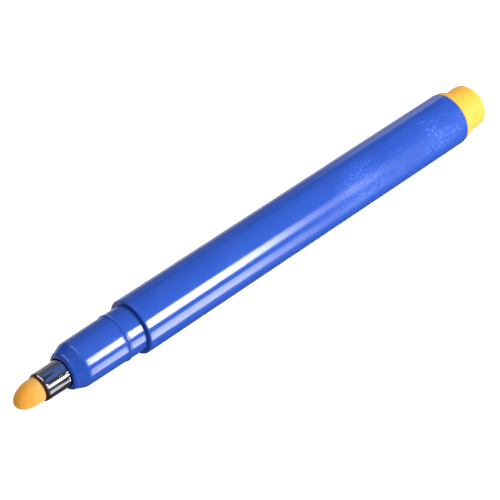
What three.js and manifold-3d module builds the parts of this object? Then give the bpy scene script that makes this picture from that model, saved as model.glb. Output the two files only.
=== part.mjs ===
// A counterfeit detector pen, uncapped and lying on its side.
//
// Every length is in millimetres. A station is a place along the pen's axis, counted from the
// barrel's front rim: negative towards the writing tip, positive towards the end plug.

import * as THREE from 'three';
import { mergeVertices } from 'three/addons/utils/BufferGeometryUtils.js';
import Module from 'manifold-3d';

const manifold = await Module();
manifold.setup();

// How finely round shapes are cut.
const FLATS_ROUND = 36;
const ROUND_STEPS = 3;
const BEAD_STEPS = 2;
const DOME_STEPS = 8;
const KNOB_STEPS = 5;

// Corners closer than this are one corner, and a cutter reaches this far past what it cuts.
const MERGE_DISTANCE = 1e-4;
const CUTTER_SPARE = 1;

// Barrel: a plain tube with rounded rims and a groove for the front section's snap ring.
const BARREL_LENGTH = 99.5;
const BARREL_RADIUS = 6.5;
const BARREL_BORE = 5.2;
const BARREL_RIM_ROUND = 0.35;
const CAP_SEAT_RADIUS = 5.7;

// Front section: the neck in front of the rim and the spigot inside the barrel.
const SECTION_REACH = 19.05;
const NOSE_BORE = 3.5;
const NOSE_BORE_DEPTH = 0.7;
const NOSE_ROUND = 0.92;
const NOSE_CONE_LENGTH = 2.23;
const NECK_FRONT_RADIUS = 5.33;
const NECK_REAR_RADIUS = 5.47;
const BEAD_STATION = -4.55;
const BEAD_WIDTH = 0.85;
const BEAD_HEIGHT = 0.2;
const RIM_GAP = 0.05;
const SPIGOT_LENGTH = 6;
const SPIGOT_RADIUS = 5.15;

// Snap ring on the spigot, and the groove in the barrel that it clicks into.
const SNAP_STATION = 4;
const SNAP_RING_WIDTH = 0.7;
const SNAP_RING_HEIGHT = 0.15;
const SNAP_GROOVE_WIDTH = 1;
const SNAP_GROOVE_DEPTH = 0.2;

// Nib: a felt rod with a bullet dome in front and a short taper that pierces the reservoir.
const NIB_RADIUS = 2.78;
const NIB_DOME_LENGTH = 5;
const NIB_REACH = 31.94;
const NIB_REAR_STATION = 9.95;
const NIB_TAPER_LENGTH = 1.4;
const NIB_REAR_RADIUS = 1.4;

// Ferrule: the metal sleeve round the nib, rolled in at the front.
const FERRULE_REACH = 25.6;
const FERRULE_REAR_STATION = -9.6;
const FERRULE_FRONT_RADIUS = 3.22;
const FERRULE_REAR_RADIUS = 3.28;
const FERRULE_BORE = 2.9;
const FERRULE_LIP_BORE = 2.84;
const FERRULE_LIP_LENGTH = 0.8;
const FERRULE_SEAT = 3.33;

// Nib holder: the fluted bush behind the ferrule.
const HOLDER_FRONT_STATION = -9.3;
const HOLDER_COLLAR_STATION = -0.3;
const HOLDER_REAR_STATION = 0.9;
const HOLDER_RADIUS = 3.9;
const HOLDER_COLLAR_RADIUS = 4.3;
const HOLDER_BORE = 2.85;
const HOLDER_FIT = 0.07;
const FLUTE_COUNT = 6;
const FLUTE_WIDTH = 0.9;
const FLUTE_DEPTH = 0.5;

// Reservoir: the fibre rod with its socket for the nib, and the film sleeve round it.
const CORE_FRONT_STATION = 6.6;
const CORE_REAR_STATION = 86;
const CORE_RADIUS = 4.8;
const CORE_SOCKET_RADIUS = 2.85;
const CORE_SOCKET_SPARE = 0.15;
const FILM_INSIDE_RADIUS = 4.85;
const FILM_OUTSIDE_RADIUS = 5.0;
const FILM_SETBACK = 0.5;

// End plug: flange on the rear rim, hollow ribbed spigot inside, posting knob outside.
const FLANGE_RADIUS = 6.25;
const FLANGE_THICKNESS = 1.4;
const FLANGE_EDGE_ROUND = 0.25;
const POSTED_CAP_SEAT_RADIUS = 5.6;
const KNOB_RADIUS = 5.33;
const KNOB_LENGTH = 6.6;
const KNOB_ROUND_LENGTH = 1.7;
const KNOB_ROUND_DEPTH = 1.3;
const GATE_DISH_RADIUS = 1.2;
const GATE_DISH_DEPTH = 0.2;
const PLUG_SPIGOT_LENGTH = 10;
const PLUG_SPIGOT_RADIUS = 4.95;
const PLUG_LEAD_IN = 0.4;
const PLUG_MOUTH_RADIUS = 3.9;
const PLUG_CAVITY_RADIUS = 3.6;
const PLUG_END_WALL = 1.4;
const CRUSH_RIB_COUNT = 6;
const CRUSH_RIB_WIDTH = 0.8;
const CRUSH_RIB_HEIGHT = 0.18;
const CRUSH_RIB_LENGTH = 8;
const CRUSH_RIB_SETBACK = 1;
const CRUSH_RIB_ROOT = 0.5;

// Worked out from the sizes above.
const NOSE_STATION = -SECTION_REACH;
const FLANGE_STATION = BARREL_LENGTH + RIM_GAP;
const KNOB_STATION = FLANGE_STATION + FLANGE_THICKNESS;
const PLUG_END_STATION = KNOB_STATION + KNOB_LENGTH;
const PLUG_FRONT_STATION = FLANGE_STATION - PLUG_SPIGOT_LENGTH;
const MID_STATION = (PLUG_END_STATION - NIB_REACH) / 2;
const AXIS_HEIGHT = BARREL_RADIUS * Math.cos(Math.PI / FLATS_ROUND);

const MATERIALS = {
  bluePlastic: { color: 0x2d5fcd, roughness: 0.18, metalness: 0 },
  chrome: { color: 0xd8dde6, roughness: 0.08, metalness: 1 },
  amberFelt: { color: 0xf5af46, roughness: 0.95, metalness: 0 },
  clearPolyethylene: { color: 0xe9eef0, roughness: 0.45, metalness: 0 },
  whiteFibre: { color: 0xefe6cf, roughness: 1, metalness: 0 },
  film: { color: 0xf4f6f7, roughness: 0.2, metalness: 0 },
  yellowPlastic: { color: 0xffdf4a, roughness: 0.4, metalness: 0 },
};

// Corners of a quarter of an ellipse, from one [station, radius] end to the other. The curve leaves
// its first end square to the axis when `leaves` is 'outwards', and along the axis when it is 'along'.
function quarterRound(first, last, leaves, steps = ROUND_STEPS) {
  const corners = [];
  for (let step = 0; step <= steps; step += 1) {
    const angle = (step / steps) * (Math.PI / 2);
    const early = Math.sin(angle);
    const late = 1 - Math.cos(angle);
    const stationShare = leaves === 'outwards' ? late : early;
    const radiusShare = leaves === 'outwards' ? early : late;
    const station = first[0] + (last[0] - first[0]) * stationShare;
    const radius = first[1] + (last[1] - first[1]) * radiusShare;
    corners.push([station, radius]);
  }
  return corners;
}

// A raised half-round band, as outline corners on a surface of the given radius.
function halfRoundBand(station, width, height, surfaceRadius) {
  const front = [station - width / 2, surfaceRadius];
  const top = [station, surfaceRadius + height];
  const rear = [station + width / 2, surfaceRadius];
  const rise = quarterRound(front, top, 'outwards', BEAD_STEPS);
  const fall = quarterRound(top, rear, 'along', BEAD_STEPS);
  return [...rise, ...fall.slice(1)];
}

// A solid turned about the pen's axis, which is the geometry's own Y axis. The outline runs from
// front to rear along the outside, then back along the inside unless it starts and ends on the axis.
function turned(outline) {
  const corners = outline.map(([station, radius]) => new THREE.Vector2(radius, station));
  if (outline[0][1] > 0) {
    corners.push(corners[0].clone());
  }
  return new THREE.LatheGeometry(corners, FLATS_ROUND, Math.PI / FLATS_ROUND);
}

// A bar beside the axis, running along it between two stations, for ribs and flutes.
function bar(width, innerRadius, outerRadius, firstStation, lastStation, angle) {
  const geometry = new THREE.BoxGeometry(width, lastStation - firstStation, outerRadius - innerRadius);
  geometry.translate(0, (firstStation + lastStation) / 2, (innerRadius + outerRadius) / 2);
  geometry.rotateY(angle);
  return geometry;
}

// A closed geometry as a manifold solid: only positions, shared corners merged, slivers dropped.
function toSolid(geometry) {
  const bare = geometry.clone();
  bare.deleteAttribute('normal');
  bare.deleteAttribute('uv');
  const merged = mergeVertices(bare, MERGE_DISTANCE);
  const index = merged.index.array;
  const triangles = [];
  for (let i = 0; i < index.length; i += 3) {
    const [a, b, c] = [index[i], index[i + 1], index[i + 2]];
    if (a !== b && b !== c && c !== a) {
      triangles.push(a, b, c);
    }
  }
  const mesh = new manifold.Mesh({
    numProp: 3,
    vertProperties: Float32Array.from(merged.attributes.position.array),
    triVerts: Uint32Array.from(triangles),
  });
  return new manifold.Manifold(mesh);
}

// A manifold solid back as a geometry.
function toGeometry(solid) {
  const mesh = solid.getMesh();
  const geometry = new THREE.BufferGeometry();
  geometry.setAttribute('position', new THREE.BufferAttribute(Float32Array.from(mesh.vertProperties), 3));
  geometry.setIndex(new THREE.BufferAttribute(Uint32Array.from(mesh.triVerts), 1));
  geometry.computeVertexNormals();
  return geometry;
}

function barrel() {
  const inner = BARREL_RADIUS - BARREL_RIM_ROUND;
  const grooveFront = SNAP_STATION - SNAP_GROOVE_WIDTH / 2;
  const grooveRear = SNAP_STATION + SNAP_GROOVE_WIDTH / 2;
  const grooveRadius = BARREL_BORE + SNAP_GROOVE_DEPTH;
  return turned([
    [0, CAP_SEAT_RADIUS],
    ...quarterRound([0, inner], [BARREL_RIM_ROUND, BARREL_RADIUS], 'outwards'),
    ...quarterRound([BARREL_LENGTH - BARREL_RIM_ROUND, BARREL_RADIUS], [BARREL_LENGTH, inner], 'along'),
    [BARREL_LENGTH, BARREL_BORE],
    [grooveRear, BARREL_BORE],
    [grooveRear, grooveRadius],
    [grooveFront, grooveRadius],
    [grooveFront, BARREL_BORE],
    [0, BARREL_BORE],
  ]);
}

function frontSection() {
  const noseRoundEnd = [NOSE_STATION + NOSE_ROUND, NOSE_BORE + NOSE_ROUND];
  const coneEnd = [noseRoundEnd[0] + NOSE_CONE_LENGTH, NECK_FRONT_RADIUS];
  const beadShare = (BEAD_STATION - coneEnd[0]) / -coneEnd[0];
  const neckAtBead = THREE.MathUtils.lerp(NECK_FRONT_RADIUS, NECK_REAR_RADIUS, beadShare);
  const ringFront = SNAP_STATION - SNAP_RING_WIDTH / 2;
  const ringRear = SNAP_STATION + SNAP_RING_WIDTH / 2;
  const collarSeat = HOLDER_COLLAR_STATION - RIM_GAP;
  const holderSeat = HOLDER_FRONT_STATION - RIM_GAP;
  return turned([
    ...quarterRound([NOSE_STATION, NOSE_BORE], noseRoundEnd, 'outwards'),
    coneEnd,
    ...halfRoundBand(BEAD_STATION, BEAD_WIDTH, BEAD_HEIGHT, neckAtBead),
    [-RIM_GAP, NECK_REAR_RADIUS],
    [-RIM_GAP, SPIGOT_RADIUS],
    [ringFront, SPIGOT_RADIUS],
    [ringFront + SNAP_RING_WIDTH / 3, SPIGOT_RADIUS + SNAP_RING_HEIGHT],
    [ringRear, SPIGOT_RADIUS],
    [SPIGOT_LENGTH, SPIGOT_RADIUS],
    [SPIGOT_LENGTH, HOLDER_COLLAR_RADIUS + HOLDER_FIT],
    [collarSeat, HOLDER_COLLAR_RADIUS + HOLDER_FIT],
    [collarSeat, HOLDER_RADIUS + HOLDER_FIT],
    [holderSeat, HOLDER_RADIUS + HOLDER_FIT],
    [holderSeat, FERRULE_SEAT],
    [NOSE_STATION + NOSE_BORE_DEPTH, FERRULE_SEAT],
    [NOSE_STATION + NOSE_BORE_DEPTH, NOSE_BORE],
  ]);
}

function nibFerrule() {
  const lipEnd = [-FERRULE_REACH + FERRULE_LIP_LENGTH, FERRULE_FRONT_RADIUS];
  return turned([
    ...quarterRound([-FERRULE_REACH, FERRULE_LIP_BORE], lipEnd, 'outwards'),
    [FERRULE_REAR_STATION, FERRULE_REAR_RADIUS],
    [FERRULE_REAR_STATION, FERRULE_BORE],
    [lipEnd[0], FERRULE_BORE],
  ]);
}

function nib() {
  const domeEnd = [-NIB_REACH + NIB_DOME_LENGTH, NIB_RADIUS];
  return turned([
    ...quarterRound([-NIB_REACH, 0], domeEnd, 'outwards', DOME_STEPS),
    [NIB_REAR_STATION - NIB_TAPER_LENGTH, NIB_RADIUS],
    [NIB_REAR_STATION, NIB_REAR_RADIUS],
    [NIB_REAR_STATION, 0],
  ]);
}

function nibHolder() {
  const bush = turned([
    [HOLDER_FRONT_STATION, HOLDER_RADIUS],
    [HOLDER_COLLAR_STATION, HOLDER_RADIUS],
    [HOLDER_COLLAR_STATION, HOLDER_COLLAR_RADIUS],
    [HOLDER_REAR_STATION, HOLDER_COLLAR_RADIUS],
    [HOLDER_REAR_STATION, HOLDER_BORE],
    [HOLDER_FRONT_STATION, HOLDER_BORE],
  ]);
  let solid = toSolid(bush);
  for (let i = 0; i < FLUTE_COUNT; i += 1) {
    const angle = (i / FLUTE_COUNT) * 2 * Math.PI;
    const floorRadius = HOLDER_RADIUS - FLUTE_DEPTH;
    const flute = bar(
      FLUTE_WIDTH, floorRadius, HOLDER_COLLAR_RADIUS + CUTTER_SPARE,
      HOLDER_FRONT_STATION - CUTTER_SPARE, HOLDER_REAR_STATION + CUTTER_SPARE, angle,
    );
    solid = solid.subtract(toSolid(flute));
  }
  return toGeometry(solid);
}

function reservoirCore() {
  const coneFront = NIB_REAR_STATION - NIB_TAPER_LENGTH;
  const coneRear = NIB_REAR_STATION + CORE_SOCKET_SPARE;
  return turned([
    [coneRear, 0],
    [coneRear, NIB_REAR_RADIUS + CORE_SOCKET_SPARE],
    [coneFront, CORE_SOCKET_RADIUS],
    [CORE_FRONT_STATION, CORE_SOCKET_RADIUS],
    [CORE_FRONT_STATION, CORE_RADIUS],
    [CORE_REAR_STATION, CORE_RADIUS],
    [CORE_REAR_STATION, 0],
  ]);
}

function reservoirFilm() {
  return turned([
    [CORE_FRONT_STATION + FILM_SETBACK, FILM_OUTSIDE_RADIUS],
    [CORE_REAR_STATION - FILM_SETBACK, FILM_OUTSIDE_RADIUS],
    [CORE_REAR_STATION - FILM_SETBACK, FILM_INSIDE_RADIUS],
    [CORE_FRONT_STATION + FILM_SETBACK, FILM_INSIDE_RADIUS],
  ]);
}

function endPlug() {
  const edge = FLANGE_EDGE_ROUND;
  const cavityEnd = PLUG_END_STATION - PLUG_END_WALL;
  const knobRoundStart = [PLUG_END_STATION - KNOB_ROUND_LENGTH, KNOB_RADIUS];
  const knobRoundEnd = [PLUG_END_STATION, KNOB_RADIUS - KNOB_ROUND_DEPTH];
  const body = turned([
    [cavityEnd, 0],
    [cavityEnd, PLUG_CAVITY_RADIUS],
    [PLUG_FRONT_STATION, PLUG_MOUTH_RADIUS],
    [PLUG_FRONT_STATION, PLUG_SPIGOT_RADIUS - PLUG_LEAD_IN],
    [PLUG_FRONT_STATION + PLUG_LEAD_IN, PLUG_SPIGOT_RADIUS],
    [FLANGE_STATION, PLUG_SPIGOT_RADIUS],
    [FLANGE_STATION, FLANGE_RADIUS - edge],
    [FLANGE_STATION + edge, FLANGE_RADIUS],
    [KNOB_STATION - edge, FLANGE_RADIUS],
    [KNOB_STATION, FLANGE_RADIUS - edge],
    [KNOB_STATION, POSTED_CAP_SEAT_RADIUS],
    [KNOB_STATION, KNOB_RADIUS],
    ...quarterRound(knobRoundStart, knobRoundEnd, 'along', KNOB_STEPS),
    [PLUG_END_STATION, GATE_DISH_RADIUS],
    [PLUG_END_STATION - GATE_DISH_DEPTH, 0],
  ]);
  let solid = toSolid(body);
  const ribRear = FLANGE_STATION - CRUSH_RIB_SETBACK;
  for (let i = 0; i < CRUSH_RIB_COUNT; i += 1) {
    const angle = (i / CRUSH_RIB_COUNT) * 2 * Math.PI;
    const rib = bar(
      CRUSH_RIB_WIDTH, PLUG_SPIGOT_RADIUS - CRUSH_RIB_ROOT, PLUG_SPIGOT_RADIUS + CRUSH_RIB_HEIGHT,
      ribRear - CRUSH_RIB_LENGTH, ribRear, angle,
    );
    solid = solid.add(toSolid(rib));
  }
  return toGeometry(solid);
}

function piece(name, geometry, look) {
  const mesh = new THREE.Mesh(geometry, new THREE.MeshStandardMaterial(look));
  mesh.name = name;
  return mesh;
}

// The pieces share the barrel's stations, so the axis group only turns them to lie along +X, with
// the nib towards -X, and lifts them until the barrel's lowest flat touches the ground.
const axis = new THREE.Group();
axis.rotation.z = -Math.PI / 2;
axis.position.set(-MID_STATION, 0, AXIS_HEIGHT);
axis.add(piece('barrel', barrel(), MATERIALS.bluePlastic));
axis.add(piece('front_section', frontSection(), MATERIALS.bluePlastic));
axis.add(piece('nib_ferrule', nibFerrule(), MATERIALS.chrome));
axis.add(piece('nib', nib(), MATERIALS.amberFelt));
axis.add(piece('nib_holder', nibHolder(), MATERIALS.clearPolyethylene));
axis.add(piece('reservoir_core', reservoirCore(), MATERIALS.whiteFibre));
axis.add(piece('reservoir_film', reservoirFilm(), MATERIALS.film));
axis.add(piece('end_plug', endPlug(), MATERIALS.yellowPlastic));

const pen = new THREE.Group();
pen.add(axis);

export default pen;
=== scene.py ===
"""A counterfeit detector pen, uncapped and lying on its side on a pale floor.

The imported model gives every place: the pen lies along X with its nib towards -X. Each piece is a
surface of revolution about the pen's axis, worked out as whole arrays, and sits where its CAD node
sits. Lengths are in metres, and MM turns millimetres into metres.
"""

from __future__ import annotations

import logging
import math
from dataclasses import dataclass, field
from enum import Enum
from typing import Any, Sequence

import bpy
import numpy as np
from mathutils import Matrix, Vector


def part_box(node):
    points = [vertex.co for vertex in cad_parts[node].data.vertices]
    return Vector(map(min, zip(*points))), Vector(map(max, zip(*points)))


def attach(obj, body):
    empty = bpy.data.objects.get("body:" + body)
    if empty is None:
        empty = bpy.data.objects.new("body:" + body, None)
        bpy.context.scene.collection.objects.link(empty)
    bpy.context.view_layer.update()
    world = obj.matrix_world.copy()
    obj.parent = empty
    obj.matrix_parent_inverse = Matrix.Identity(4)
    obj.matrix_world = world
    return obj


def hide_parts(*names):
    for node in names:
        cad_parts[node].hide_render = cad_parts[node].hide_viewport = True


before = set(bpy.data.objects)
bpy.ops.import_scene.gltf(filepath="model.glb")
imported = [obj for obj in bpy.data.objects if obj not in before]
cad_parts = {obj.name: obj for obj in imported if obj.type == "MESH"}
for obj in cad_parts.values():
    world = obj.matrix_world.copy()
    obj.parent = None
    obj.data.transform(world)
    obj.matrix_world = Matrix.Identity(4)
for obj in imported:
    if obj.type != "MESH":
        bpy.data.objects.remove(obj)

MM = 0.001
SEGMENTS = 192
SHARP_EDGE_DEG = 32.0
ON_AXIS = 1e-9
SAME_RADIUS = 1e-6
LOG = logging.getLogger("detector_pen")


# ---------------------------------------------------------------- outlines and surfaces


class Leaving(Enum):
    """How a quarter round leaves its first end."""

    OUTWARDS = "square to the axis"
    ALONG = "along the axis"


class Outline:
    """The half section of a turned piece: stations along the axis and radii, front to rear."""

    def __init__(self, station: float, radius: float) -> None:
        """Start the outline at one corner.

        Args:
            station: Place along X.
            radius: Distance from the pen's axis.
        """
        self.corners: list[np.ndarray] = [np.array([[station, radius]])]

    @property
    def end(self) -> np.ndarray:
        """The last corner so far."""
        return self.corners[-1][-1]

    def line(self, station: float, radius: float, steps: int = 1) -> Outline:
        """Run straight to a corner.

        Args:
            station: Place along X of the corner.
            radius: Its distance from the axis.
            steps: How many equal lengths the line is cut into.

        Returns:
            The outline itself, so that calls can be chained.
        """
        share = np.linspace(0.0, 1.0, steps + 1)[1:, None]
        self.corners.append(self.end + share * (np.array([station, radius]) - self.end))
        return self

    def round(self, station: float, radius: float, leaving: Leaving, steps: int = 8) -> Outline:
        """Run to a corner along a quarter of an ellipse.

        With an angle that goes from 0 to a right angle, one coordinate follows the sine and the
        other follows one minus the cosine, so the curve starts square to one axis and ends square
        to the other.

        Args:
            station: Place along X of the corner.
            radius: Its distance from the axis.
            leaving: Which coordinate moves first.
            steps: How many chords the curve is cut into.

        Returns:
            The outline itself.
        """
        angle = np.linspace(0.0, np.pi / 2, steps + 1)[1:]
        early, late = np.sin(angle), 1.0 - np.cos(angle)
        shares = (late, early) if leaving is Leaving.OUTWARDS else (early, late)
        reach = np.array([station, radius]) - self.end
        self.corners.append(self.end + np.stack(shares, axis=1) * reach)
        return self

    def bend(self, corner_station: float, corner_radius: float, station: float, radius: float,
             steps: int = 8) -> Outline:
        """Run to a point along a soft corner.

        The curve is a parabola that starts towards the corner and ends away from it, with weights
        (1 - t)², 2t(1 - t) and t² on its first end, the corner and its last end.

        Args:
            corner_station: Place along X of the corner that it cuts.
            corner_radius: The corner's distance from the axis.
            station: Place along X of the last end.
            radius: The last end's distance from the axis.
            steps: How many chords the curve is cut into.

        Returns:
            The outline itself.
        """
        share = np.linspace(0.0, 1.0, steps + 1)[1:, None]
        corner, last = np.array([corner_station, corner_radius]), np.array([station, radius])
        curve = (1 - share) ** 2 * self.end + 2 * share * (1 - share) * corner + share**2 * last
        self.corners.append(curve)
        return self

    def ramp(self, station: float, radius: float, steps: int = 8) -> Outline:
        """Run to a corner along an S-curve.

        The radius follows the cubic 3t² - 2t³ of the share t of the station, so both ends of the
        curve lie along the axis.

        Args:
            station: Place along X of the corner.
            radius: Its distance from the axis.
            steps: How many chords the curve is cut into.

        Returns:
            The outline itself.
        """
        share = np.linspace(0.0, 1.0, steps + 1)[1:]
        shares = np.stack([share, smooth_step(share, 0.0, 1.0)], axis=1)
        self.corners.append(self.end + shares * (np.array([station, radius]) - self.end))
        return self

    def points(self) -> np.ndarray:
        """All corners as an array of station and radius."""
        return np.concatenate(self.corners)


@dataclass(frozen=True)
class Turned:
    """A surface of revolution about the pen's axis.

    Attributes:
        outline: Stations and radii, front to rear along the outside and back along the inside.
        axis_height: Height of the pen's axis above the floor.
        segments: How many strips go round the axis.
        lean: How far each corner's ring is moved off the axis along Y and Z, or None.
    """

    outline: np.ndarray
    axis_height: float
    segments: int = SEGMENTS
    lean: np.ndarray | None = None

    def angles(self) -> np.ndarray:
        """Angle of each strip's edge, from the top of the pen round through +Y."""
        return np.arange(self.segments) * (2.0 * np.pi / self.segments)

    def grid(self, ripple: np.ndarray | None = None) -> np.ndarray:
        """Place the surface's points.

        A point at angle a and radius r is at height r times the cosine of a above the axis, and at
        r times the sine of a along Y. The ripple is added to the radius.

        Args:
            ripple: Radius to add at each corner of the outline and each angle, or None.

        Returns:
            Points as an array of outline corners by angles by three.
        """
        angle = self.angles()[None, :]
        radius = self.outline[:, 1:2] + (0.0 if ripple is None else ripple)
        radius = np.broadcast_to(radius, (len(self.outline), self.segments))
        station = np.broadcast_to(self.outline[:, :1], radius.shape)
        across, up = (0.0, 0.0) if self.lean is None else (self.lean[:, :1], self.lean[:, 1:])
        return np.stack(
            [station, across + radius * np.sin(angle), self.axis_height + up + radius * np.cos(angle)],
            axis=2,
        )

    def mesh(self, name: str, ripple: np.ndarray | None = None) -> bpy.types.Mesh:
        """Join the points into a closed mesh with its faces outwards.

        The outline's last corner joins its first where neither is on the axis. An outline that
        starts and ends on the axis gets one point at each pole, with a fan of triangles.

        Args:
            name: Name of the mesh.
            ripple: Passed on to grid.

        Returns:
            The new mesh, smooth where its faces meet at a small angle.
        """
        on_axis = bool(self.outline[0, 1] < ON_AXIS)
        points = self.grid(ripple)
        if on_axis:
            body = points[1:-1].reshape(-1, 3)
            poles = np.array([points[0, 0], points[-1, 0]])
            vertices = np.concatenate([body, poles])
            rows = len(points) - 2
        else:
            vertices = points.reshape(-1, 3)
            rows = len(points)
        ring = np.arange(self.segments)
        beside = (ring + 1) % self.segments
        first = np.arange(rows - 1 if on_axis else rows)
        second = (first + 1) % rows
        quads = np.stack(
            [
                first[:, None] * self.segments + ring,
                second[:, None] * self.segments + ring,
                second[:, None] * self.segments + beside,
                first[:, None] * self.segments + beside,
            ],
            axis=2,
        ).reshape(-1, 4)
        faces = quads.tolist()
        if on_axis:
            last = (rows - 1) * self.segments
            front_pole = np.full(self.segments, len(vertices) - 2)
            rear_pole = np.full(self.segments, len(vertices) - 1)
            faces += np.stack([front_pole, ring, beside], axis=1).tolist()
            faces += np.stack([rear_pole, last + beside, last + ring], axis=1).tolist()
        mesh = bpy.data.meshes.new(name)
        mesh.from_pydata(vertices.tolist(), [], faces)
        mesh.polygons.foreach_set("use_smooth", np.ones(len(mesh.polygons), bool))
        mesh.set_sharp_from_angle(angle=math.radians(SHARP_EDGE_DEG))
        mesh.update()
        return mesh


# ---------------------------------------------------------------- finishes


class Operation(Enum):
    """How two values in a finish are joined."""

    PLUS = "ADD"
    TIMES = "MULTIPLY"


class NodeSheet:
    """A material's node tree, with short calls to add nodes and join them."""

    def __init__(self, name: str) -> None:
        """Make a material with one principled shader.

        Args:
            name: Name of the material.
        """
        self.material = bpy.data.materials.new(name)
        self.material.use_nodes = True
        self.tree = self.material.node_tree
        self.shader = self.tree.nodes["Principled BSDF"]
        self.place = self.tree.nodes.new("ShaderNodeTexCoord").outputs["Object"]

    def set(self, **values: Any) -> None:
        """Set the shader's own sockets to constants.

        Args:
            **values: A value for each socket, named with underscores for spaces.
        """
        for name, value in values.items():
            self.shader.inputs[name.replace("_", " ")].default_value = value

    def join(self, source: bpy.types.NodeSocket, target: str) -> None:
        """Join a socket to one of the shader's inputs."""
        self.tree.links.new(source, self.shader.inputs[target])

    def mapped(self, scale: Sequence[float], shift: Sequence[float] = (0, 0, 0),
               turn_deg: Sequence[float] = (0, 0, 0)) -> bpy.types.NodeSocket:
        """Object coordinates, shifted, turned and scaled.

        Args:
            scale: Scale along each axis; a pattern gets finer as it grows.
            shift: Added to the scaled coordinates.
            turn_deg: Turn about each axis, in degrees.

        Returns:
            The vector socket.
        """
        node = self.tree.nodes.new("ShaderNodeMapping")
        self.tree.links.new(self.place, node.inputs["Vector"])
        node.inputs["Location"].default_value = shift
        node.inputs["Rotation"].default_value = [math.radians(a) for a in turn_deg]
        node.inputs["Scale"].default_value = scale
        return node.outputs["Vector"]

    def noise(self, vector: bpy.types.NodeSocket, detail: float = 3.0,
              roughness: float = 0.55) -> bpy.types.NodeSocket:
        """A cloudy pattern from 0 to 1 at one cell per unit of its vector.

        Args:
            vector: Scaled coordinates.
            detail: How many finer layers it holds.
            roughness: How strong the finer layers are.

        Returns:
            The pattern's socket.
        """
        node = self.tree.nodes.new("ShaderNodeTexNoise")
        self.tree.links.new(vector, node.inputs["Vector"])
        node.inputs["Scale"].default_value = 1.0
        node.inputs["Detail"].default_value = detail
        node.inputs["Roughness"].default_value = roughness
        return node.outputs[0]

    def share(self, source: bpy.types.NodeSocket, low: float, high: float,
              to_low: float = 0.0, to_high: float = 1.0) -> bpy.types.NodeSocket:
        """Turn a range of one value into a range of another, held at its ends.

        Args:
            source: The value.
            low: Value that gives to_low.
            high: Value that gives to_high.
            to_low: Result at low.
            to_high: Result at high.

        Returns:
            The result's socket.
        """
        node = self.tree.nodes.new("ShaderNodeMapRange")
        node.interpolation_type = "SMOOTHSTEP"
        self.tree.links.new(source, node.inputs["Value"])
        for name, value in (("From Min", low), ("From Max", high), ("To Min", to_low), ("To Max", to_high)):
            node.inputs[name].default_value = value
        return node.outputs["Result"]

    def combine(self, operation: Operation, first: bpy.types.NodeSocket,
                second: bpy.types.NodeSocket | float) -> bpy.types.NodeSocket:
        """Join two values by an operation, held between 0 and 1.

        Args:
            operation: The operation.
            first: First value.
            second: Second value, a socket or a number.

        Returns:
            The result's socket.
        """
        node = self.tree.nodes.new("ShaderNodeMath")
        node.operation = operation.value
        node.use_clamp = True
        self.tree.links.new(first, node.inputs[0])
        if isinstance(second, bpy.types.NodeSocket):
            self.tree.links.new(second, node.inputs[1])
        else:
            node.inputs[1].default_value = second
        return node.outputs[0]

    def plus(self, first: bpy.types.NodeSocket,
             second: bpy.types.NodeSocket | float) -> bpy.types.NodeSocket:
        """The sum of two values, at most 1."""
        return self.combine(Operation.PLUS, first, second)

    def times(self, first: bpy.types.NodeSocket,
              second: bpy.types.NodeSocket | float) -> bpy.types.NodeSocket:
        """The product of two values, at most 1."""
        return self.combine(Operation.TIMES, first, second)

    def along(self) -> bpy.types.NodeSocket:
        """The place along the pen's axis, in metres."""
        node = self.tree.nodes.new("ShaderNodeSeparateXYZ")
        self.tree.links.new(self.place, node.inputs[0])
        return node.outputs["X"]

    def sideways(self, rise_deg: float) -> bpy.types.NodeSocket:
        """The distance in metres towards a side that faces -Y and rises by an angle.

        Args:
            rise_deg: Angle of that side above the horizon.

        Returns:
            The distance's socket.
        """
        node = self.tree.nodes.new("ShaderNodeSeparateXYZ")
        turned = self.mapped((1.0, 1.0, 1.0), turn_deg=(rise_deg - 90.0, 0.0, 0.0))
        self.tree.links.new(turned, node.inputs[0])
        return node.outputs["Z"]

    def blend(self, share: bpy.types.NodeSocket, low: Sequence[float] | bpy.types.NodeSocket,
              high: Sequence[float]) -> bpy.types.NodeSocket:
        """Mix two colours.

        Args:
            share: 0 gives low and 1 gives high.
            low: A colour or a colour socket.
            high: A colour.

        Returns:
            The mixed colour's socket.
        """
        node = self.tree.nodes.new("ShaderNodeMix")
        node.data_type = "RGBA"
        self.tree.links.new(share, node.inputs[0])
        if isinstance(low, bpy.types.NodeSocket):
            self.tree.links.new(low, node.inputs[6])
        else:
            node.inputs[6].default_value = (*low, 1.0)
        node.inputs[7].default_value = (*high, 1.0)
        return node.outputs[2]

    def relief(self, height: bpy.types.NodeSocket, depth: float, strength: float = 1.0) -> None:
        """Raise the surface by a pattern.

        Args:
            height: Pattern from 0 to 1.
            depth: Height in metres that 1 stands for.
            strength: How much of the relief shows.
        """
        node = self.tree.nodes.new("ShaderNodeBump")
        node.inputs["Distance"].default_value = depth
        node.inputs["Strength"].default_value = strength
        self.tree.links.new(height, node.inputs["Height"])
        self.tree.links.new(node.outputs["Normal"], self.shader.inputs["Normal"])


class Finish:
    """What every finish has: a name and a way to become a material.

    Attributes:
        name: Name of the material.
    """

    name: str

    def material(self) -> bpy.types.Material:
        """The finish as a material."""
        raise NotImplementedError


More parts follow.
